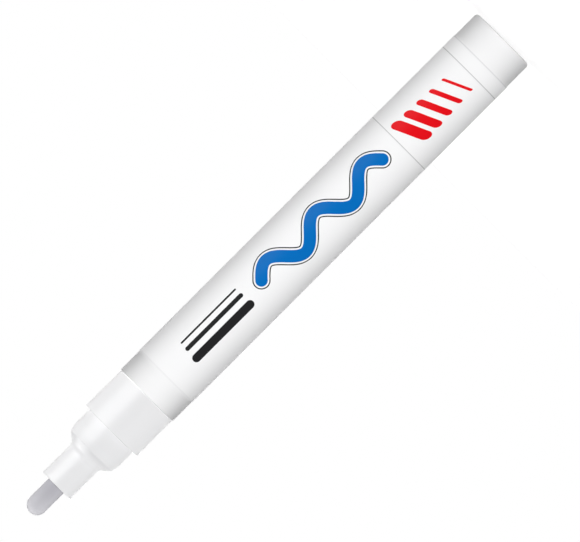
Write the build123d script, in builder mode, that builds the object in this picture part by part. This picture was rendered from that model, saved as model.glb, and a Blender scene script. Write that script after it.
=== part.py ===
from build123d import *
import math
import os

# A valve-action paint marker with its cap off, standing on its rear end, in millimetres.
# The origin is the centre of the rear end, and +Z runs along the axis to the tip of the nib.

# Barrel: a drawn aluminium can, closed at the rear
barrel_diameter = 14.6
barrel_length = 100.4
barrel_wall = 0.45
base_thickness = 0.9
base_corner_radius = 0.65
foot_width = 1.5
base_recess = 0.25
mouth_chamfer = 0.1

# Label: a printed film wrapped once round the barrel, with its edges butted at the back
label_thickness = 0.08
label_adhesive = 0.02
label_rear_margin = 6.3
label_front_margin = 5.4
label_seam = 0.4

# Nib: a bonded fibre rod with a round end
nib_diameter = 4.2
nib_exposed = 7.5
nib_rear_chamfer = 0.4
nib_stroke = 2.0

# Front holder, outside: collar, cap seat with a slight lead-in, flare and nose
collar_inset = 0.15
collar_length = 9.9
collar_edge_chamfer = 0.1
cap_stop_step = 1.1
cap_seat_length = 3.9
lead_in_length = 1.75
lead_in_depth = 0.27
flare_length = 1.75
flare_shoulder_radius = 0.3
flare_root_radius = 1.6
nose_length = 8.1
nose_wall = 1.15
nose_edge_chamfer = 0.15

# Front holder, inside: spigot in the barrel, seat shoulder, chamber and nib guide
spigot_gap = 0.15
spigot_wall = 1.0
spigot_chamfer = 0.5
seal_rib_count = 2
seal_rib_pitch = 4.0
seal_rib_depth = 2.5
seal_rib_size = 0.35
seal_rib_corners = 4
seal_rib_gap = 0.02
snap_undercut = 0.15
snap_gap = 0.05
chamber_wall = 1.4
guide_channel = 0.55
guide_rib_gap = 0.05
guide_rib_count = 6
guide_rib_width = 0.8
guide_rib_setback = 0.6
guide_tube_wall = 0.85
nib_overhang = 1.2

# Valve: a soft seat, a windowed case, a rod with a cone plug, and a spring
seat_depth = 3.6
seat_thickness = 2.2
seat_cone_depth = 1.0
seat_channel = 0.55
seat_fit_gap = 0.03
stem_diameter = 2.4
stem_margin = 1.3
stem_nib_gap = 0.05
plug_seat_gap = 0.05
plug_channel = 0.5
plug_rim = 0.8
tail_diameter = 2.0
tail_gap = 0.06
tail_setback = 0.6
case_length = 12.8
case_channel = 0.85
case_wall = 0.7
case_floor = 1.2
case_rim_length = 2.0
case_guard = 1.0
window_count = 4
window_width = 2.6
window_length = 6.5
window_margin = 1.0
spring_wire = 0.45
spring_wire_sides = 6
spring_turns = 5
spring_closing = 0.35
spring_tail_gap = 0.6
spring_end_gap = 0.03
spring_boss_gap = 0.1
spring_boss_height = 0.8

# Mixing ball: a loose steel ball that stirs the paint when the marker is shaken
ball_diameter = 4.5
ball_rest_gap = 0.1
ball_stop_gap = 0.6

# Radii from the axis outwards
nib_radius = nib_diameter / 2
guide_bore_radius = nib_radius + guide_channel
guide_tube_radius = guide_bore_radius + guide_tube_wall
nose_radius = guide_bore_radius + nose_wall
barrel_radius = barrel_diameter / 2
barrel_bore_radius = barrel_radius - barrel_wall
label_inner_radius = barrel_radius + label_adhesive
label_outer_radius = label_inner_radius + label_thickness
collar_radius = barrel_radius - collar_inset
cap_seat_radius = collar_radius - cap_stop_step
lead_in_radius = cap_seat_radius - lead_in_depth
chamber_radius = cap_seat_radius - chamber_wall
spigot_radius = barrel_bore_radius - spigot_gap
socket_radius = spigot_radius - spigot_wall
lip_radius = socket_radius - snap_undercut
stem_radius = stem_diameter / 2
tail_radius = tail_diameter / 2
seat_radius = socket_radius - seat_fit_gap
seat_bore_radius = stem_radius + seat_channel
seat_mouth_radius = seat_bore_radius + seat_cone_depth
case_radius = lip_radius - case_channel
case_bore_radius = case_radius - case_wall
plug_radius = case_bore_radius - plug_channel
spring_inner_radius = tail_radius + spring_tail_gap
spring_radius = spring_inner_radius + spring_wire / 2
ball_radius = ball_diameter / 2

# Heights from the rear end to the nib's tip
mouth_z = barrel_length
label_rear_z = label_rear_margin
label_front_z = barrel_length - label_front_margin
collar_front_z = mouth_z + collar_length
cap_seat_front_z = collar_front_z + cap_seat_length
flare_rear_z = cap_seat_front_z + lead_in_length
flare_front_z = flare_rear_z + flare_length
nose_front_z = flare_front_z + nose_length
nib_tip_z = nose_front_z + nib_exposed
nib_round_z = nib_tip_z - nib_radius
seat_front_z = mouth_z + seat_depth
seat_rear_z = seat_front_z - seat_thickness
seat_cone_z = seat_rear_z + seat_cone_depth
nib_rear_z = seat_front_z + nib_stroke + stem_margin
guide_rear_z = nib_rear_z + nib_overhang
rib_front_z = nose_front_z - guide_rib_setback
case_front_z = seat_rear_z
case_rear_z = case_front_z - case_length
case_floor_z = case_rear_z + case_floor
case_rim_z = case_front_z - case_rim_length
lip_front_z = case_rim_z - snap_gap
window_z = case_rim_z - window_margin - window_length / 2
spigot_rear_z = case_rear_z - case_guard
stem_front_z = nib_rear_z - stem_nib_gap
stem_rear_z = seat_cone_z - plug_seat_gap + seat_channel
plug_front_z = seat_cone_z - plug_seat_gap - (plug_radius - seat_bore_radius)
plug_rear_z = plug_front_z - plug_rim
tail_rear_z = case_rear_z + tail_setback
ball_rest_z = base_thickness + ball_rest_gap + ball_radius
ball_stop_z = tail_rear_z - nib_stroke - ball_stop_gap - ball_radius

standing = (Align.CENTER, Align.CENTER, Align.MIN)
os.makedirs("parts", exist_ok=True)

# Barrel: the can's rear corner is rounded, and its base is recessed so that it stands on a flat foot ring
recess_radius = barrel_radius - base_corner_radius - foot_width
with BuildPart() as barrel:
    Cylinder(barrel_radius, barrel_length, align=standing)
    chamfer(barrel.edges().group_by(Axis.Z)[-1], mouth_chamfer)
    fillet(barrel.edges().group_by(Axis.Z)[0], base_corner_radius)
    with Locations((0, 0, base_thickness)):
        Cylinder(barrel_bore_radius, barrel_length - base_thickness, align=standing, mode=Mode.SUBTRACT)
    Cone(recess_radius, recess_radius - base_recess, base_recess, align=standing, mode=Mode.SUBTRACT)
barrel.part.label = "barrel"
export_step(barrel.part, "parts/barrel.step")

# Label: its seam is on the +Y side, away from the print
with BuildPart() as label_wrap:
    with BuildSketch(Plane.XY.offset(label_rear_z)):
        Circle(label_outer_radius)
        Circle(label_inner_radius, mode=Mode.SUBTRACT)
        with Locations((0, label_outer_radius)):
            Rectangle(label_seam, label_outer_radius, mode=Mode.SUBTRACT)
    extrude(amount=label_front_z - label_rear_z)
label_wrap.part.label = "label_wrap"
export_step(label_wrap.part, "parts/label_wrap.step")

# Front holder: one moulding, turned outside, cored out inside, with a ribbed guide for the nib.
# Behind the seat and the case's rim its bore narrows to a lip, which they snap past.
holder_corners = [
    ((0, spigot_rear_z), 0),
    ((spigot_radius - spigot_chamfer, spigot_rear_z), 0),
    ((spigot_radius, spigot_rear_z + spigot_chamfer), 0),
    ((spigot_radius, mouth_z), 0),
    ((collar_radius, mouth_z), 0),
    ((collar_radius, collar_front_z - collar_edge_chamfer), 0),
    ((collar_radius - collar_edge_chamfer, collar_front_z), 0),
    ((cap_seat_radius, collar_front_z), 0),
    ((cap_seat_radius, cap_seat_front_z), 0),
    ((lead_in_radius, flare_rear_z), flare_shoulder_radius),
    ((nose_radius, flare_front_z), flare_root_radius),
    ((nose_radius, nose_front_z - nose_edge_chamfer), 0),
    ((nose_radius - nose_edge_chamfer, nose_front_z), 0),
    ((0, nose_front_z), 0),
]
guide_rib_length = rib_front_z - guide_rear_z
guide_rib_depth = guide_channel - guide_rib_gap + guide_tube_wall / 2
guide_rib_radius = nib_radius + guide_rib_gap + guide_rib_depth / 2
seal_rib_radius = barrel_bore_radius - seal_rib_gap - seal_rib_size
seal_rib_heights = [mouth_z - seal_rib_depth - seal_rib_pitch * rib for rib in range(seal_rib_count)]
with BuildPart() as front_holder:
    with BuildSketch(Plane.XZ):
        with BuildLine():
            FilletPolyline(
                [point for point, radius in holder_corners],
                radius=[radius for point, radius in holder_corners],
                close=True,
            )
        make_face()
    revolve(axis=Axis.Z)
    with BuildSketch(Plane.XZ):
        with Locations(*[(seal_rib_radius, height) for height in seal_rib_heights]):
            RegularPolygon(seal_rib_size, seal_rib_corners)
    revolve(axis=Axis.Z)
    with Locations((0, 0, spigot_rear_z)):
        Cylinder(lip_radius, lip_front_z - spigot_rear_z, align=standing, mode=Mode.SUBTRACT)
    with Locations((0, 0, lip_front_z)):
        Cylinder(socket_radius, seat_front_z - lip_front_z, align=standing, mode=Mode.SUBTRACT)
    with Locations((0, 0, seat_front_z)):
        Cylinder(chamber_radius, flare_rear_z - seat_front_z, align=standing, mode=Mode.SUBTRACT)
    with Locations((0, 0, guide_rear_z)):
        Cylinder(guide_tube_radius, flare_front_z - guide_rear_z, align=standing)
        Cylinder(guide_bore_radius, nose_front_z - guide_rear_z, align=standing, mode=Mode.SUBTRACT)
    with Locations((0, 0, guide_rear_z)):
        with PolarLocations(guide_rib_radius, guide_rib_count):
            Box(guide_rib_depth, guide_rib_width, guide_rib_length, align=standing)
front_holder.part.label = "front_holder"
export_step(front_holder.part, "parts/front_holder.step")

# Nib: a plain rod inside the guide, ground round where it writes
with BuildPart() as nib:
    with Locations((0, 0, nib_rear_z)):
        Cylinder(nib_radius, nib_round_z - nib_rear_z, align=standing)
    chamfer(nib.edges().group_by(Axis.Z)[0], nib_rear_chamfer)
    with Locations((0, 0, nib_round_z)):
        Sphere(nib_radius)
nib.part.label = "nib"
export_step(nib.part, "parts/nib.step")

# Valve seat: a soft ring pressed against the holder's shoulder, coned at the rear for the plug
with BuildPart() as valve_seat:
    with BuildSketch(Plane.XZ):
        with BuildLine():
            Polyline(
                (seat_mouth_radius, seat_rear_z),
                (seat_radius, seat_rear_z),
                (seat_radius, seat_front_z),
                (seat_bore_radius, seat_front_z),
                (seat_bore_radius, seat_cone_z),
                close=True,
            )
        make_face()
    revolve(axis=Axis.Z)
valve_seat.part.label = "valve_seat"
export_step(valve_seat.part, "parts/valve_seat.step")

# Valve case: a cup snapped into the holder behind the seat, with windows that let the paint in
window_angles = [360 * window / window_count for window in range(window_count)]
window_planes = [
    Plane(
        origin=(0, 0, window_z),
        x_dir=(0, 0, 1),
        z_dir=(math.cos(math.radians(angle)), math.sin(math.radians(angle)), 0),
    )
    for angle in window_angles
]
with BuildPart() as valve_case:
    with Locations((0, 0, case_rear_z)):
        Cylinder(case_radius, case_length, align=standing)
    with Locations((0, 0, case_rim_z)):
        Cylinder(seat_radius, case_rim_length, align=standing)
    with Locations((0, 0, case_floor_z)):
        Cylinder(case_bore_radius, case_front_z - case_floor_z, align=standing, mode=Mode.SUBTRACT)
        Cylinder(spring_inner_radius - spring_boss_gap, spring_boss_height, align=standing)
    with Locations((0, 0, case_rear_z)):
        Cylinder(
            tail_radius + tail_gap, case_floor + spring_boss_height, align=standing, mode=Mode.SUBTRACT
        )
    with BuildSketch(*window_planes):
        SlotOverall(window_length, window_width)
    extrude(amount=seat_radius, mode=Mode.SUBTRACT)
valve_case.part.label = "valve_case"
export_step(valve_case.part, "parts/valve_case.step")

# Valve rod: the tail runs in the case, the cone plug closes the seat, and the stem reaches the nib
with BuildPart() as valve_rod:
    with BuildSketch(Plane.XZ):
        with BuildLine():
            Polyline(
                (0, tail_rear_z),
                (tail_radius, tail_rear_z),
                (tail_radius, plug_rear_z),
                (plug_radius, plug_rear_z),
                (plug_radius, plug_front_z),
                (stem_radius, stem_rear_z),
                (stem_radius, stem_front_z),
                (0, stem_front_z),
                close=True,
            )
        make_face()
    revolve(axis=Axis.Z)
valve_rod.part.label = "valve_rod"
export_step(valve_rod.part, "parts/valve_rod.step")

# Valve spring: one length of wire wound round the rod's tail, with its coils closer at both ends
spring_start_z = case_floor_z + spring_end_gap + spring_wire / 2
spring_rise = plug_rear_z - spring_end_gap - spring_wire / 2 - spring_start_z
spans_per_turn = 4


def spring_point(turn):
    """The wire's centre after so many turns."""
    angle = 2 * math.pi * turn
    share = turn / spring_turns
    closing = spring_closing * math.sin(2 * math.pi * share) / (2 * math.pi)
    height = spring_start_z + spring_rise * (share - closing)
    return Vector(spring_radius * math.cos(angle), spring_radius * math.sin(angle), height)


def spring_direction(turn):
    """The way the wire runs after so many turns."""
    angle = 2 * math.pi * turn
    around = 2 * math.pi * spring_radius
    share = turn / spring_turns
    climb = spring_rise / spring_turns * (1 - spring_closing * math.cos(2 * math.pi * share))
    return Vector(-around * math.sin(angle), around * math.cos(angle), climb).normalized()


def biarc_middle(start, start_way, end, end_way):
    """The point where two equal-handed arcs meet, and the way they run there."""
    chord = end - start
    ways = start_way + end_way
    slack = 4 - ways.dot(ways)
    along = chord.dot(ways)
    reach = (math.sqrt(along**2 + chord.dot(chord) * slack) - along) / slack
    first = start + start_way * reach
    second = end - end_way * reach
    return (first + second) * 0.5, (second - first).normalized()


with BuildPart() as valve_spring:
    with BuildLine() as spring_line:
        for span in range(spring_turns * spans_per_turn):
            start_turn = span / spans_per_turn
            end_turn = (span + 1) / spans_per_turn
            span_start = spring_point(start_turn)
            span_end = spring_point(end_turn)
            start_way = spring_direction(start_turn)
            middle, middle_way = biarc_middle(span_start, start_way, span_end, spring_direction(end_turn))
            TangentArc(span_start, middle, tangent=start_way)
            TangentArc(middle, span_end, tangent=middle_way)
    with BuildSketch(Plane(origin=spring_point(0), z_dir=spring_direction(0))):
        RegularPolygon(spring_wire / 2, spring_wire_sides)
    sweep(path=spring_line.line)
valve_spring.part.label = "valve_spring"
export_step(valve_spring.part, "parts/valve_spring.step")

# Mixing ball: it lies on the can's base while the marker stands
with BuildPart() as mixing_ball:
    with Locations((0, 0, ball_rest_z)):
        Sphere(ball_radius)
mixing_ball.part.label = "mixing_ball"
export_step(mixing_ball.part, "parts/mixing_ball.step")

# The spring's least gap to itself, measured between points that lie half a turn or more apart
steps_per_turn = 48
spring_points = [spring_point(step / steps_per_turn) for step in range(spring_turns * steps_per_turn + 1)]
half_turn = steps_per_turn // 2
spring_gap = min(
    (later - earlier).length - spring_wire
    for index, earlier in enumerate(spring_points)
    for later in spring_points[index + half_turn :]
)
print(f"least gap of the spring to itself: {spring_gap:.2f} mm")
print(f"overall length: {nib_tip_z:.2f} mm, label radius: {label_outer_radius:.2f} mm")
print(f"cap seat radius: {cap_seat_radius:.2f} mm, from z {collar_front_z:.2f} to {cap_seat_front_z:.2f} mm")
print(f"nib and valve stroke: {nib_stroke:.2f} mm, spring stands on z {case_floor_z:.2f} mm")
print(f"ball travel: {ball_stop_z - ball_rest_z:.2f} mm")
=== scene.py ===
import math

import bmesh
import bpy
from mathutils import Matrix, Vector


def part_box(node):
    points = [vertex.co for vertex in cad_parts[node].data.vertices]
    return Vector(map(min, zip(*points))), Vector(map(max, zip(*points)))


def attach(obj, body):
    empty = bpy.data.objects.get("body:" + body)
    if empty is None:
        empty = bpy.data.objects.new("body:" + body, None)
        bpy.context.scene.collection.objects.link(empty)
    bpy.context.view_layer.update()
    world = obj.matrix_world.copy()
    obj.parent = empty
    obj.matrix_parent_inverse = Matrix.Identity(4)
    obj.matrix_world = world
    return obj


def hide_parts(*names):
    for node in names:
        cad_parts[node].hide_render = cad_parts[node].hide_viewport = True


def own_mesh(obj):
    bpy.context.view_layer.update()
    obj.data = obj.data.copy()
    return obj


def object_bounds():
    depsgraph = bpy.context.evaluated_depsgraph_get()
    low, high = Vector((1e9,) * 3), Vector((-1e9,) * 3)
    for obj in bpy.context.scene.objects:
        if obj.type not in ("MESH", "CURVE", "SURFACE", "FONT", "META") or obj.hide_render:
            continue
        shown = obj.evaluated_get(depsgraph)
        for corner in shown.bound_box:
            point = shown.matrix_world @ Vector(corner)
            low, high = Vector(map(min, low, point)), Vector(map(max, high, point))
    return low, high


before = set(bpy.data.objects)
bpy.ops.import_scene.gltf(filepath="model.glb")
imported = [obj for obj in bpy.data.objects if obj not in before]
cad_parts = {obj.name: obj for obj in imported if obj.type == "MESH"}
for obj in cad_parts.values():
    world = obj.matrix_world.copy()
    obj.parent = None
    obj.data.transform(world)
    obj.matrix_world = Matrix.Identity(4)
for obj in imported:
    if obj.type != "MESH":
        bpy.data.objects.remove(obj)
cad_low, cad_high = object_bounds()


# Barrel
# A drawn aluminium can, closed at the rear, enamelled white outside and bare inside.
# Its mouth is cut square and slightly broken at the edge, which leaves a bright metal rim,
# and its base is recessed so that it stands on a narrow foot ring, where the enamel gets rubbed.
MM = 0.001
barrel_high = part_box("barrel")[1]
barrel_radius = barrel_high.x
barrel_mouth = barrel_high.z
barrel_wall = 0.45 * MM
barrel_base = 0.9 * MM
barrel_corner = 0.65 * MM
barrel_bore = barrel_radius - barrel_wall
bore_corner = 0.3 * MM
mouth_edge = 0.1 * MM
foot_width = 1.5 * MM
foot_edge = 0.15 * MM
recess_depth = 0.25 * MM
recess_radius = barrel_radius - barrel_corner - foot_width
enamel_white = (0.9, 0.9, 0.905, 1)
enamel_roughness = (0.42, 0.5)
peel_size = 1.1 * MM
peel_depth = 0.004 * MM
bare_aluminium = (0.9, 0.902, 0.905, 1)
bare_polish = (0.1, 0.2)
bare_blur = 0.01 * MM
draw_mark_size = 0.12 * MM
draw_mark_stretch = 60
rub_size = 0.35 * MM
rub_detail = 4
rub_patches = (0.52, 0.62)
rub_height = (0.02 * MM, 0.1 * MM)
rub_bareness = 0.55
rub_roughness = 0.15
turned_steps = 128
rounding_step = 0.1 * MM
least_rounding_steps = 4
weld_distance = 0.0001 * MM
sharp_angle = math.radians(32)


def turned(name, outline, steps=turned_steps, closed=False):
    """A turned piece. Each corner of its outline is a radius, a height and the rounding of that edge."""
    shape = bmesh.new()
    corners = [shape.verts.new((radius, 0, height)) for radius, height, rounding in outline]
    sides = list(zip(corners, corners[1:]))
    if closed:
        sides.append((corners[-1], corners[0]))
    for side in sides:
        shape.edges.new(side)
    for corner, (radius, height, rounding) in zip(corners, outline):
        if rounding:
            ways = [side.other_vert(corner).co - corner.co for side in corner.link_edges]
            bmesh.ops.bevel(
                shape,
                geom=[corner],
                offset=rounding / math.tan(ways[0].angle(ways[1]) / 2),
                offset_type="OFFSET",
                affect="VERTICES",
                segments=max(least_rounding_steps, round(rounding / rounding_step)),
                profile=0.5,
                material=-1,
            )
    bmesh.ops.spin(
        shape,
        geom=list(shape.verts) + list(shape.edges),
        axis=(0, 0, 1),
        angle=2 * math.pi,
        steps=steps,
        use_merge=True,
    )
    return finished(name, shape)


def finished(name, shape):
    """The object of a closed shape: doubles merged, faces outwards and smooth but for its corners."""
    bmesh.ops.remove_doubles(shape, verts=shape.verts, dist=weld_distance)
    bmesh.ops.recalc_face_normals(shape, faces=shape.faces)
    for face in shape.faces:
        face.smooth = True
    mesh = bpy.data.meshes.new(name)
    shape.to_mesh(mesh)
    shape.free()
    mesh.set_sharp_from_angle(angle=sharp_angle)
    piece = bpy.data.objects.new(name, mesh)
    bpy.context.scene.collection.objects.link(piece)
    evening = piece.modifiers.new("even_normals", "WEIGHTED_NORMAL")
    evening.keep_sharp = True
    return piece


class Shade:
    """A socket of a node tree. Sums and products of such sockets add Math nodes to the tree."""

    def __init__(self, tree, socket=None):
        self.tree = tree
        self.socket = socket

    def add(self, kind, settings=None, inputs=None, output=0):
        """A new node of the tree: its settings come first, then its sockets get values or links."""
        made = self.tree.nodes.new(kind)
        for name, value in (settings or {}).items():
            setattr(made, name, value)
        for key, value in (inputs or {}).items():
            if isinstance(value, Shade):
                self.tree.links.new(value.socket, made.inputs[key])
            else:
                made.inputs[key].default_value = value
        return Shade(self.tree, made.outputs[output])

    def maths(self, operation, *values):
        """A Math node on these values."""
        return self.add("ShaderNodeMath", {"operation": operation}, dict(enumerate(values)))

    def __add__(self, other):
        return self.maths("ADD", self, other)

    __radd__ = __add__

    def __sub__(self, other):
        return self.maths("SUBTRACT", self, other)

    def __rsub__(self, other):
        return self.maths("SUBTRACT", other, self)

    def __mul__(self, other):
        return self.maths("MULTIPLY", self, other)

    __rmul__ = __mul__

    def __truediv__(self, other):
        return self.maths("DIVIDE", self, other)

    def __neg__(self):
        return self.maths("MULTIPLY", self, -1)

    def __abs__(self):
        return self.maths("ABSOLUTE", self)

    def root(self):
        return self.maths("SQRT", self)

    def least(self, other):
        return self.maths("MINIMUM", self, other)

    def most(self, other):
        return self.maths("MAXIMUM", self, other)

    def across(self, other):
        """The length of two distances that are square to each other."""
        return (self * self + other * other).root()

    def fade(self, low, high):
        """0 below low, 1 above high, and smooth between them."""
        return self.add(
            "ShaderNodeMapRange",
            {"interpolation_type": "SMOOTHSTEP"},
            {"Value": self, "From Min": low, "From Max": high},
        )

    def spread(self, low, high):
        """A number between two, by this share."""
        return low + (high - low) * self

    def between(self, first, second):
        """A colour between two, by this share, from the colour sockets of a Mix node."""
        return self.add("ShaderNodeMix", {"data_type": "RGBA"}, {0: self, 6: first, 7: second}, 2)

    def point(self):
        """The surface point, in the part's frame."""
        return self.add("ShaderNodeTexCoord", output="Object")

    def along(self, axis):
        """One coordinate of this point."""
        return self.add("ShaderNodeSeparateXYZ", inputs={0: self}, output=axis)

    def grain(self, size, stretch=1, detail=2):
        """Noise at this point, with grains of a given size, so many times as long along the marker."""
        scale = (1 / size, 1 / size, 1 / size / stretch)
        scaled = self.add("ShaderNodeVectorMath", {"operation": "MULTIPLY"}, {0: self, 1: scale})
        return self.add("ShaderNodeTexNoise", inputs={"Vector": scaled, "Scale": 1, "Detail": detail})

    def bump(self, depth):
        """Normals for this height, from 0 to 1, over so many metres."""
        return self.add("ShaderNodeBump", inputs={"Strength": 1, "Distance": depth, "Height": self})


def finish_of(name, **constants):
    """A material with one shader. What is the same all over the surface is set on its sockets."""
    material = bpy.data.materials.new(name)
    material.use_nodes = True
    shader = material.node_tree.nodes["Principled BSDF"]
    for key, value in constants.items():
        shader.inputs[key.replace("_", " ")].default_value = value
    return material, shader, Shade(material.node_tree)


def drive(shader, **sockets):
    """Links what changes over the surface to the shader's sockets."""
    for key, value in sockets.items():
        value.tree.links.new(value.socket, shader.inputs[key.replace("_", " ")])


def fit(piece, material, body, node):
    """Dresses a piece in its material and puts it on its body, in place of its CAD node."""
    piece.data.materials.append(material)
    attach(piece, body)
    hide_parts(node)


barrel = turned(
    "barrel_can",
    [
        (0, recess_depth, 0),
        (recess_radius - recess_depth, recess_depth, foot_edge),
        (recess_radius, 0, foot_edge),
        (barrel_radius, 0, barrel_corner),
        (barrel_radius, barrel_mouth - mouth_edge, 0),
        (barrel_radius - mouth_edge, barrel_mouth, 0),
        (barrel_bore, barrel_mouth, 0),
        (barrel_bore, barrel_base, bore_corner),
        (0, barrel_base, 0),
    ],
)
enamel, shader, shade = finish_of("white_enamel", IOR=1.15)
point = shade.point()
x, y, z = (point.along(axis) for axis in "XYZ")
inside = 1 - x.across(y).fade(barrel_bore, barrel_bore + barrel_wall / 2)
lined = inside * z.fade(barrel_base / 2, barrel_base)
rim_height = barrel_mouth - mouth_edge / 2
cut_rim = z.fade(rim_height - bare_blur, rim_height + bare_blur)
bare = lined.most(cut_rim)
peel = point.grain(peel_size)
draw_marks = point.grain(draw_mark_size, draw_mark_stretch)
rubbed = point.grain(rub_size, detail=rub_detail).fade(*rub_patches) * (1 - z.fade(*rub_height))
coat = (rub_bareness * rubbed).between(enamel_white, bare_aluminium)
coat_roughness = peel.spread(*enamel_roughness) + rub_roughness * rubbed
drive(
    shader,
    Base_Color=bare.between(coat, bare_aluminium),
    Metallic=bare,
    Roughness=coat_roughness - bare * draw_marks.spread(*bare_polish),
    Normal=peel.bump(peel_depth),
)
fit(barrel, enamel, "body", "barrel")


# Label
# A glossy white film printed in three colours, wrapped once round the can and butted at the back.
# It stops short of both ends of the can, where a fine line of film is left unprinted.
label_low, label_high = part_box("label_wrap")
label_radius = label_high.x
label_thickness = 0.08 * MM
label_seam = 0.4 * MM
label_steps = 160
label_white = (0.91, 0.91, 0.915, 1)
film_grey = (0.76, 0.76, 0.77, 1)
film_roughness = (0.36, 0.46)
ripple_size = 2.5 * MM
ripple_depth = 0.003 * MM
print_red = (0.76, 0.004, 0.01, 1)
print_blue = (0.0, 0.155, 0.51, 1)
print_black = (0.012, 0.012, 0.013, 1)
print_edge = 0.03 * MM

film = bmesh.new()
seam_angle = math.asin(label_seam / 2 / label_radius)
seam_way = Vector((math.sin(seam_angle), math.cos(seam_angle), 0))
film_end = film.faces.new(
    film.verts.new(seam_way * radius + Vector((0, 0, height)))
    for radius, height in (
        (label_radius - label_thickness, label_low.z),
        (label_radius, label_low.z),
        (label_radius, label_high.z),
        (label_radius - label_thickness, label_high.z),
    )
)
bmesh.ops.spin(
    film,
    geom=[film_end],
    axis=(0, 0, -1),
    angle=2 * math.pi - 2 * seam_angle,
    steps=label_steps,
)
label = finished("label_film", film)

printed, shader, shade = finish_of("printed_film", IOR=1.2, Diffuse_Roughness=0.25)
point = shade.point()
x, y, z = (point.along(axis) for axis in "XYZ")
arc = label_radius * x.maths("ARCTAN2", x, -y)


def inked(distance, width):
    """1 where a point is within half a stroke's width of its line, with a crisp printed edge."""
    return 1 - distance.fade(width / 2 - print_edge, width / 2 + print_edge)


def past(position, start, end):
    """How far a position lies past either end of a stretch, and 0 within it."""
    return (abs(position - (start + end) / 2) - (end - start) / 2).most(0)


# A broad blue wave with round ends, and a hairline round it
wave_start, wave_end = 34 * MM, 68 * MM
wave_swings = 2.5
wave_height = 2.3 * MM
wave_width = 2.5 * MM
wave_rate = 2 * math.pi * wave_swings / (wave_end - wave_start)
wave_approaches = 3
hairline_gap = 0.45 * MM
hairline_width = 0.24 * MM


def wave_at(height):
    """The wave's middle at a height, and how steeply it runs there."""
    phase = (height - wave_start) * wave_rate
    return wave_height * phase.maths("SINE", phase), wave_height * wave_rate * phase.maths("COSINE", phase)


# The height of the wave's nearest point, found in a few steps along its slope
nearest = z
for approach in range(wave_approaches):
    middle, slope = wave_at(nearest)
    nearest = nearest + (z - nearest + (arc - middle) * slope) / (1 + slope * slope)
nearest = nearest.most(wave_start).least(wave_end)
middle = wave_at(nearest)[0]
off_wave = (z - nearest).across(arc - middle)
blue = inked(off_wave, wave_width)
black = inked(abs(off_wave - wave_width / 2 - hairline_gap), hairline_width)

# Slanted red bars that grow from thin to thick
bar_count = 5
bar_start = 13 * MM
bar_pitch = 3.2 * MM
bar_length = 5.4 * MM
bar_lean = 0.45
thinnest_bar = 0.6 * MM
bar_growth = 0.4 * MM
past_bars = past(arc, -bar_length / 2, bar_length / 2)
bars = []
for step in range(bar_count):
    off_bar = (z - bar_start - step * bar_pitch - bar_lean * arc) / math.hypot(1, bar_lean)
    bars.append(inked(off_bar.across(past_bars), thinnest_bar + step * bar_growth))
red = bars[0]
for bar in bars[1:]:
    red = red.most(bar)

# Straight black strokes of three widths, each at its own place round the label
stroke_start, stroke_end = 73 * MM, 88 * MM
strokes = [(2.5 * MM, 0.4 * MM), (0.8 * MM, 0.9 * MM), (-1.8 * MM, 1.8 * MM)]
for stroke_arc, width in strokes:
    black = black.most(inked((arc - stroke_arc).across(past(z, stroke_start, stroke_end)), width))

# Fine grey rules round the marker on both sides of the bars
rule_heights = (9.6 * MM, 29.4 * MM)
rule_width = 0.2 * MM
rule_ink = 0.35
for height in rule_heights:
    black = black.most(rule_ink * inked(abs(z - height), rule_width))

# Fine unprinted lines at the film's two ends, the front one fainter
rear_line_width = 0.25 * MM
front_line_width = 0.33 * MM
front_line_share = 0.35
rear_line_end = label_low.z + rear_line_width
front_line_start = label_high.z - front_line_width
rear_line = 1 - z.fade(rear_line_end - print_edge, rear_line_end + print_edge)
front_line = front_line_share * z.fade(front_line_start - print_edge, front_line_start + print_edge)
surface = rear_line.most(front_line).between(label_white, film_grey)
surface = blue.between(surface, print_blue)
surface = red.between(surface, print_red)
surface = black.between(surface, print_black)
ripple = point.grain(ripple_size)
drive(
    shader,
    Base_Color=surface,
    Roughness=ripple.spread(*film_roughness),
    Normal=ripple.bump(ripple_depth),
)
fit(label, printed, "body", "label_wrap")


# Front holder
# One white polypropylene moulding: a ribbed spigot pushed into the can, the collar, the cap's seat
# with its slight lead-in, the flare, with shade painted greyer next to its shoulder, and the nose.
# It is cored out for the valve.
holder_low, holder_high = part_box("front_holder")
nib_low, nib_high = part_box("nib")
seat_low, seat_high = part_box("valve_seat")
moulded_edge = 0.1 * MM
collar_length = 9.9 * MM
collar_edge = 0.12 * MM
collar_radius = holder_high.x
collar_front = barrel_mouth + collar_length
cap_seat_step = 1.1 * MM
cap_seat_length = 3.9 * MM
cap_seat_radius = collar_radius - cap_seat_step
cap_seat_front = collar_front + cap_seat_length
lead_in_taper = 0.27 * MM
lead_in_length = 1.75 * MM
lead_in_bend = 1 * MM
lead_in_radius = cap_seat_radius - lead_in_taper
flare_length = 1.75 * MM
flare_shoulder = 0.3 * MM
flare_hollow = 1.6 * MM
flare_rear = cap_seat_front + lead_in_length
flare_front = flare_rear + flare_length
nib_radius = nib_high.x
paint_channel = 0.55 * MM
guide_wall = 0.85 * MM
guide_setback = 1.2 * MM
guide_edge = 0.15 * MM
guide_bore = nib_radius + paint_channel
guide_tube = guide_bore + guide_wall
guide_rear = nib_low.z + guide_setback
nose_wall = 1.15 * MM
nose_edge = 0.2 * MM
nose_radius = guide_bore + nose_wall
nose_front = holder_high.z
spigot_clearance = 0.15 * MM
spigot_wall = 1.0 * MM
spigot_bevel = 0.5 * MM
spigot_radius = barrel_bore - spigot_clearance
seal_size = 0.13 * MM
seal_setbacks = (6.5 * MM, 2.5 * MM)
socket_length = 2.05 * MM
socket_radius = spigot_radius - spigot_wall
lip_size = 0.15 * MM
lip_radius = socket_radius - lip_size
lip_front = seat_low.z - socket_length
chamber_wall = 1.4 * MM
chamber_corner = 0.2 * MM
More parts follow.
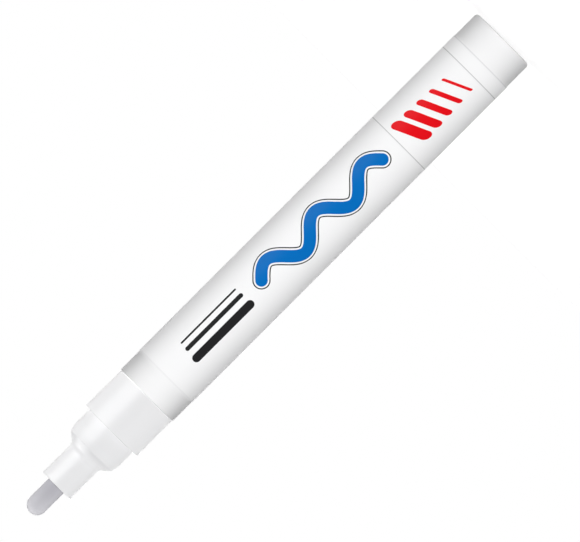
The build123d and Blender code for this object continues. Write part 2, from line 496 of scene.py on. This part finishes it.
chamber_radius = cap_seat_radius - chamber_wall
moulded_white = (0.78, 0.78, 0.79, 1)
moulded_pale = (0.8, 0.8, 0.805, 1)
moulded_roughness = (0.28, 0.34)
flow_size = 5 * MM
flow_stretch = 2
skin_size = 0.25 * MM
skin_depth = 0.002 * MM
# The colour of the shade painted onto the flare next to its shoulder
flare_painted_shade = (0.68, 0.68, 0.69, 1)
flare_blur = 0.2 * MM

seals = []
for setback in seal_setbacks:
    seal_height = barrel_mouth - setback
    seals.append((spigot_radius, seal_height - seal_size, 0))
    seals.append((spigot_radius + seal_size, seal_height, 0))
    seals.append((spigot_radius, seal_height + seal_size, 0))
holder = turned(
    "front_moulding",
    [
        (lip_radius, holder_low.z, moulded_edge),
        (spigot_radius - spigot_bevel, holder_low.z, moulded_edge),
        (spigot_radius, holder_low.z + spigot_bevel, moulded_edge),
        *seals,
        (spigot_radius, barrel_mouth, 0),
        (collar_radius, barrel_mouth, moulded_edge),
        (collar_radius, collar_front, collar_edge),
        (cap_seat_radius, collar_front, moulded_edge),
        (cap_seat_radius, cap_seat_front, lead_in_bend),
        (lead_in_radius, flare_rear, flare_shoulder),
        (nose_radius, flare_front, flare_hollow),
        (nose_radius, nose_front, nose_edge),
        (guide_bore, nose_front, nose_edge),
        (guide_bore, guide_rear, guide_edge),
        (guide_tube, guide_rear, guide_edge),
        (guide_tube, flare_rear, chamber_corner),
        (chamber_radius, flare_rear, chamber_corner),
        (chamber_radius, seat_high.z, moulded_edge),
        (socket_radius, seat_high.z, 0),
        (socket_radius, lip_front, 0),
        (lip_radius, lip_front, 0),
    ],
    closed=True,
)
moulded, shader, shade = finish_of("moulded_plastic", IOR=1.55, Diffuse_Roughness=1, Sheen_Weight=0.2)
point = shade.point()
z = point.along("Z")
flow = point.grain(flow_size, flow_stretch)
skin = point.grain(skin_size)
# Painted shade: the upward-facing flare is coloured greyer next to its shoulder, where shade falls
past_shoulder = z.fade(flare_rear - flare_blur, flare_rear + flare_blur)
painted_shade_share = past_shoulder * (1 - z.fade(flare_rear, flare_front + flare_blur))
drive(
    shader,
    Base_Color=painted_shade_share.between(flow.between(moulded_white, moulded_pale), flare_painted_shade),
    Roughness=skin.spread(*moulded_roughness),
    Normal=skin.bump(skin_depth),
)
fit(holder, moulded, "body", "front_holder")


# Guide ribs
# Six ribs of the same moulding along the nose's bore, which hold the nib straight
# and leave channels between them for the paint.
rib_count = 6
rib_width = 0.8 * MM
rib_clearance = 0.05 * MM
rib_root = 0.1 * MM
rib_setback = 0.6 * MM
rib_edge = 0.12 * MM
rib_edge_steps = 3
rib_inner = nib_radius + rib_clearance
rib_outer = guide_bore + rib_root
rib_front = nose_front - rib_setback
rib_size = Vector((rib_outer - rib_inner, rib_width, rib_front - guide_rear))
rib_place = Vector(((rib_outer + rib_inner) / 2, 0, (rib_front + guide_rear) / 2))

ribs = bmesh.new()
for rib in range(rib_count):
    block = bmesh.ops.create_cube(ribs, size=1)["verts"]
    bmesh.ops.scale(ribs, vec=rib_size, verts=block)
    bmesh.ops.translate(ribs, vec=rib_place, verts=block)
    edges = {edge for corner in block for edge in corner.link_edges}
    inner_edges = [edge for edge in edges if all(end.co.x < rib_place.x for end in edge.verts)]
    rounded = bmesh.ops.bevel(
        ribs,
        geom=inner_edges,
        offset=rib_edge,
        affect="EDGES",
        segments=rib_edge_steps,
        profile=0.5,
        material=-1,
    )
    whole = {corner for face in rounded["faces"] for corner in face.verts}
    whole |= {corner for corner in block if corner.is_valid}
    turn = Matrix.Rotation(2 * math.pi * rib / rib_count, 3, "Z")
    bmesh.ops.rotate(ribs, matrix=turn, verts=list(whole))
guide_ribs = finished("guide_ribs", ribs)
guide_ribs.data.materials.append(moulded)
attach(guide_ribs, "body")


# Nib
# A rod of bonded fibres, ground to a round end, that soaks the paint forward from the chamber.
# It slides back between the ribs when it is pressed.
nib_edge = 0.4 * MM
slim_steps = 96
fibre_dark = (0.5, 0.495, 0.53, 1)
fibre_light = (0.63, 0.625, 0.655, 1)
fibre_roughness = (0.85, 0.95)
strand_size = 0.16 * MM
strand_stretch = 30
strand_detail = 3
strand_depth = 0.03 * MM
strand_contrast = (-0.125, 0.125)
nib = turned(
    "fibre_nib",
    [
        (0, nib_low.z, 0),
        (nib_radius, nib_low.z, nib_edge),
        (nib_radius, nib_high.z, nib_radius),
        (0, nib_high.z, 0),
    ],
    slim_steps,
)
fibre, shader, shade = finish_of("bonded_fibre", IOR=1.3, Diffuse_Roughness=1)
point = shade.point()
strands = point.grain(strand_size, strand_stretch, strand_detail)
# The fibre's colour runs lighter from the nose towards the tip
towards_tip = point.along("Z").fade(nose_front, nib_high.z)
drive(
    shader,
    Base_Color=(towards_tip + strands.spread(*strand_contrast)).between(fibre_dark, fibre_light),
    Roughness=strands.spread(*fibre_roughness),
    Normal=strands.bump(strand_depth),
)
fit(nib, fibre, "nib", "nib")


# Valve seat
# A soft moulded ring, coned behind so that the plug closes on it. It is pressed against the shoulder
# in the holder.
seat_radius = seat_high.x
seat_bore = 1.75 * MM
seat_cone = 1.0 * MM
cone_edge = 0.05 * MM
seat_grey = (0.7, 0.71, 0.69, 1)
seat_pale = (0.8, 0.81, 0.79, 1)
seat_roughness = (0.5, 0.65)
seat_cloud_size = 1.5 * MM
seat = turned(
    "seat_ring",
    [
        (seat_bore + seat_cone, seat_low.z, moulded_edge),
        (seat_radius, seat_low.z, moulded_edge),
        (seat_radius, seat_high.z, moulded_edge),
        (seat_bore, seat_high.z, moulded_edge),
        (seat_bore, seat_low.z + seat_cone, cone_edge),
    ],
    slim_steps,
    closed=True,
)
soft, shader, shade = finish_of("soft_plastic", Diffuse_Roughness=0.5)
cloud = shade.point().grain(seat_cloud_size)
drive(
    shader,
    Base_Color=cloud.between(seat_grey, seat_pale),
    Roughness=cloud.spread(*seat_roughness),
)
fit(seat, soft, "body", "valve_seat")


# Valve case
# A cup moulded in plastic of natural colour, with four windows that let the paint in. It is snapped
# into the holder behind the seat.
case_grey = (0.76, 0.76, 0.73, 1)
case_pale = (0.84, 0.84, 0.82, 1)
case_roughness = (0.4, 0.5)
case_cloud_size = 2 * MM
case_skin_size = 0.2 * MM
natural, shader, shade = finish_of("natural_plastic", Diffuse_Roughness=0.4)
point = shade.point()
drive(
    shader,
    Base_Color=point.grain(case_cloud_size).between(case_grey, case_pale),
    Roughness=point.grain(case_skin_size).spread(*case_roughness),
)
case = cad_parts["valve_case"]
case.data.materials.clear()
case.data.materials.append(natural)


# Valve rod
# One moulding in hard white plastic: its tail runs in the case, its cone plug shuts the seat and its
# stem reaches the nib, which pushes it back.
rod_low, rod_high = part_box("valve_rod")
stem_radius = 1.2 * MM
stem_edge = 0.15 * MM
tail_radius = 1.0 * MM
tail_length = 10.6 * MM
tail_edge = 0.2 * MM
plug_length = 0.8 * MM
plug_radius = rod_high.x
plug_rear = rod_low.z + tail_length
plug_front = plug_rear + plug_length
cone_front = plug_front + plug_radius - stem_radius
rod_white = (0.79, 0.79, 0.8, 1)
rod_pale = (0.84, 0.84, 0.84, 1)
rod_roughness = (0.3, 0.45)
rubbing_size = 0.1 * MM
rubbing_stretch = 20
rod = turned(
    "plug_rod",
    [
        (0, rod_low.z, 0),
        (tail_radius, rod_low.z, tail_edge),
        (tail_radius, plug_rear, moulded_edge),
        (plug_radius, plug_rear, moulded_edge),
        (plug_radius, plug_front, cone_edge),
        (stem_radius, cone_front, moulded_edge),
        (stem_radius, rod_high.z, stem_edge),
        (0, rod_high.z, 0),
    ],
    slim_steps,
)
acetal, shader, shade = finish_of("rod_plastic", Diffuse_Roughness=0.3)
rubbing = shade.point().grain(rubbing_size, rubbing_stretch)
drive(
    shader,
    Base_Color=rubbing.between(rod_white, rod_pale),
    Roughness=rubbing.spread(*rod_roughness),
)
fit(rod, acetal, "valve", "valve_rod")


# Valve spring
# A coil of steel wire round the rod's tail, between the case's floor and the plug, with its coils
# closer at both ends. The real spring shortens as the rod is pushed back; this one keeps its resting
# length.
spring_low, spring_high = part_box("valve_spring")
spring_radius = 1.825 * MM
spring_turns = 5
spring_closing = 0.35
wire_radius = 0.225 * MM
wire_sides = 12
steps_per_turn = 32
spring_start = spring_low.z + wire_radius
spring_rise = spring_high.z - wire_radius - spring_start
wire_grey = (0.55, 0.55, 0.56, 1)
wire_pale = (0.68, 0.68, 0.69, 1)
wire_roughness = (0.25, 0.4)
wire_grain_size = 0.08 * MM


def spring_height(step):
    """The wire's height after so many steps."""
    share = step / steps_per_turn / spring_turns
    closing = spring_closing * math.sin(2 * math.pi * share) / (2 * math.pi)
    return spring_start + spring_rise * (share - closing)


wire = bmesh.new()
wire_place = Matrix.Translation((spring_radius, 0, spring_start)) @ Matrix.Rotation(math.pi / 2, 4, "X")
bmesh.ops.create_circle(wire, cap_ends=True, radius=wire_radius, segments=wire_sides, matrix=wire_place)
wire_end = list(wire.verts) + list(wire.edges) + list(wire.faces)
for step in range(spring_turns * steps_per_turn):
    wound = bmesh.ops.spin(
        wire,
        geom=wire_end,
        axis=(0, 0, 1),
        dvec=(0, 0, spring_height(step + 1) - spring_height(step)),
        angle=2 * math.pi / steps_per_turn,
        steps=1,
    )
    wire_end = wound["geom_last"]
spring = finished("coil_spring", wire)
steel_wire, shader, shade = finish_of("spring_steel", Metallic=1)
wire_grain = shade.point().grain(wire_grain_size)
drive(
    shader,
    Base_Color=wire_grain.between(wire_grey, wire_pale),
    Roughness=wire_grain.spread(*wire_roughness),
)
fit(spring, steel_wire, "body", "valve_spring")
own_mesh(spring)


# Mixing ball
# A loose polished steel ball in the can, which stirs the paint when the marker is shaken.
# It lies on the can's base while the marker stands.
ball_low, ball_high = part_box("mixing_ball")
ball_subdivisions = 4
ball_grey = (0.56, 0.56, 0.57, 1)
ball_pale = (0.66, 0.66, 0.67, 1)
ball_roughness = (0.12, 0.27)
scuff_size = 0.3 * MM
scuff_stretch = 6
sphere = bmesh.new()
bmesh.ops.create_icosphere(
    sphere,
    subdivisions=ball_subdivisions,
    radius=(ball_high.z - ball_low.z) / 2,
    matrix=Matrix.Translation((ball_low + ball_high) / 2),
)
ball = finished("steel_ball", sphere)
polished, shader, shade = finish_of("polished_steel", Metallic=1)
scuffs = shade.point().grain(scuff_size, scuff_stretch)
drive(
    shader,
    Base_Color=scuffs.between(ball_grey, ball_pale),
    Roughness=scuffs.spread(*ball_roughness),
)
fit(ball, polished, "ball", "mixing_ball")


# Studio
# A pale floor under the standing marker, as on a light table. Soft light comes from the front and a
# little to each side, from both sides behind, from high up behind and up through the floor. Three
# panels show only as gloss: they draw the bright line along the moulded nose and over its flare.
floor_radius = 2.5
floor_sides = 96
floor_white = (0.9, 0.9, 0.9, 1)
floor_return = (0.15, 0.15, 0.15, 1)
floor_lift = 0.62
fill_light = 0.02
soft_angle = math.radians(30)
lamp_aim = Vector((0, 0, 0.15))
lamp_distance = 0.7

# Each soft light's degrees round from the front, degrees up and strength
soft_lights = {
    "front_light": (0, 3, 2.72),
    "left_front_light": (-35, 3, 0.3),
    "right_front_light": (35, 3, 0.3),
    "left_rear_light": (-155, 3, 1.36),
    "right_rear_light": (155, 3, 1.36),
    "top_light": (180, 55, 0.9),
    "table_light": (0, -90, 1.0),
}

# Each panel's degrees round from the front, degrees up, width, length and power
gloss_panels = {
    "side_panel": (50, 0, 0.85, 0.5, 3.85),
    "edge_panel": (108, 0, 0.7, 0.5, 1.2),
    "high_panel": (136, 66, 0.5, 0.5, 2.6),
}

ground = bmesh.new()
bmesh.ops.create_circle(ground, cap_ends=True, radius=floor_radius, segments=floor_sides)
floor_mesh = bpy.data.meshes.new("floor")
ground.to_mesh(floor_mesh)
ground.free()
floor = bpy.data.objects.new("floor", floor_mesh)
bpy.context.scene.collection.objects.link(floor)


def looked_at(shade):
    """1 for what is seen directly, mirrored or through glass, and 0 for the light that falls on things."""
    direct, mirrored, through_glass = (
        shade.add("ShaderNodeLightPath", output=ray)
        for ray in ("Is Camera Ray", "Is Glossy Ray", "Is Transmission Ray")
    )
    return (direct + mirrored + through_glass).least(1)


paper, shader, shade = finish_of("floor_paper", Roughness=0.9, IOR=1.2, Emission_Strength=1)
seen = looked_at(shade)
drive(shader, Base_Color=seen.between(floor_return, floor_white), Emission_Color=floor_lift * seen)
floor.data.materials.append(paper)
floor.visible_shadow = False

studio = bpy.data.worlds.new("studio")
studio.use_nodes = True
bpy.context.scene.world = studio
seen = looked_at(Shade(studio.node_tree))
drive(studio.node_tree.nodes["Background"], Color=seen + fill_light * (1 - seen))


def lamp_of(light, azimuth, elevation):
    """A lamp that shines at the marker from so many degrees round from the front, and so many up."""
    towards = Vector((0, -math.cos(math.radians(elevation)), math.sin(math.radians(elevation))))
    towards.rotate(Matrix.Rotation(math.radians(azimuth), 3, "Z"))
    lamp = bpy.data.objects.new(light.name, light)
    lamp.location = lamp_aim + towards * lamp_distance
    lamp.rotation_euler = towards.to_track_quat("Z", "Y").to_euler()
    bpy.context.scene.collection.objects.link(lamp)
    return lamp


for name, (azimuth, elevation, strength) in soft_lights.items():
    sun = bpy.data.lights.new(name, "SUN")
    sun.energy = strength
    sun.angle = soft_angle
    lamp = lamp_of(sun, azimuth, elevation)
    lamp.visible_glossy = False
for name, (azimuth, elevation, width, length, power) in gloss_panels.items():
    panel = bpy.data.lights.new(name, "AREA")
    panel.shape = "RECTANGLE"
    panel.size = width
    panel.size_y = length
    panel.energy = power
    lamp = lamp_of(panel, azimuth, elevation)
    lamp.visible_diffuse = False
    lamp.visible_camera = False


# Camera
# It looks square at the print from far off, turned so that the nib points down to the left.
# Two pixels place it: the nib's tip and the middle of the rear end.
image_width, image_height = 580, 542
tip_pixel = Vector((29.8, 512.2))
rear_pixel = Vector((502.9, 39))
lens = 1000
far_limit = 20
view = bpy.data.cameras.new("camera")
view.lens = lens
view.clip_end = far_limit
camera = bpy.data.objects.new("camera", view)
bpy.context.scene.collection.objects.link(camera)
axis_pixels = tip_pixel - rear_pixel
middle_pixel = (tip_pixel + rear_pixel) / 2
pixel = cad_high.z / axis_pixels.length
axis_pixels.normalize()
right = Vector((-axis_pixels.y, 0, axis_pixels.x))
up = Vector((-axis_pixels.x, 0, -axis_pixels.y))
back = right.cross(up)
aim = Vector((0, 0, cad_high.z / 2))
aim += right * (image_width / 2 - middle_pixel.x) * pixel
aim += up * (middle_pixel.y - image_height / 2) * pixel
camera_distance = pixel * image_width * lens / view.sensor_width
camera.matrix_world = (
    Matrix.Translation(aim + back * camera_distance) @ Matrix((right, up, back)).transposed().to_4x4()
)
bpy.context.scene.camera = camera
bpy.context.scene.view_settings.view_transform = "Standard"
